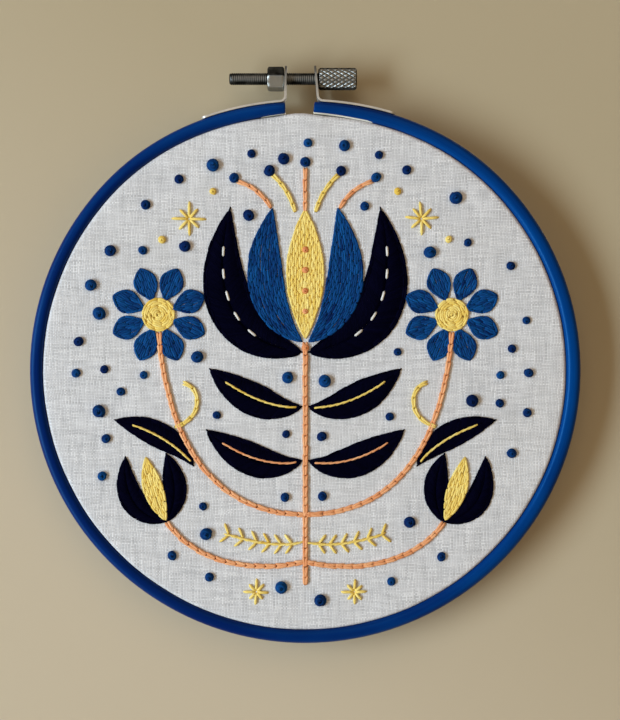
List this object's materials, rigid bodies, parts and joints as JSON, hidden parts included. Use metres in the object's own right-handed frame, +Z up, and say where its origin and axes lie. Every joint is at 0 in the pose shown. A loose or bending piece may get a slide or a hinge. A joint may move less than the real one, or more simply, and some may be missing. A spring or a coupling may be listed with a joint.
{
  "type": "embroidery hoop with stretched stitched cloth",
  "caption": "Round linen stretched in a blue painted split hoop with a knurled clamp screw at the top, hung by the screw, stitched with a folk flower design",
  "frame": {"origin": "on the underside of the clamp screw's shank, above the middle of the rings, where the hoop hangs", "axes": "+Z up, -Y out of the stitched front, +X to the right seen from the front"},
  "size_m": [0.1624, 0.0086, 0.1705],
  "materials": {
    "painted_wood": "satin blue paint over bamboo",
    "bare_wood": "bare bamboo, lightly sanded",
    "linen": "off-white plain-weave linen",
    "strip_steel": "plated steel strip",
    "screw_steel": "plated steel, knurled knob",
    "thread_navy": "stranded cotton thread",
    "thread_blue": "stranded cotton thread",
    "thread_yellow": "stranded cotton thread",
    "thread_orange": "stranded cotton thread",
    "thread_white": "stranded cotton thread"
  },
  "bodies": {
    "root": {"outer_ring": "painted_wood", "inner_ring": "bare_wood", "cloth": "linen", "bracket_left": "strip_steel", "bracket_right": "strip_steel", "thumb_screw": "screw_steel", "nut": "screw_steel"}
  },
  "joints": []
}
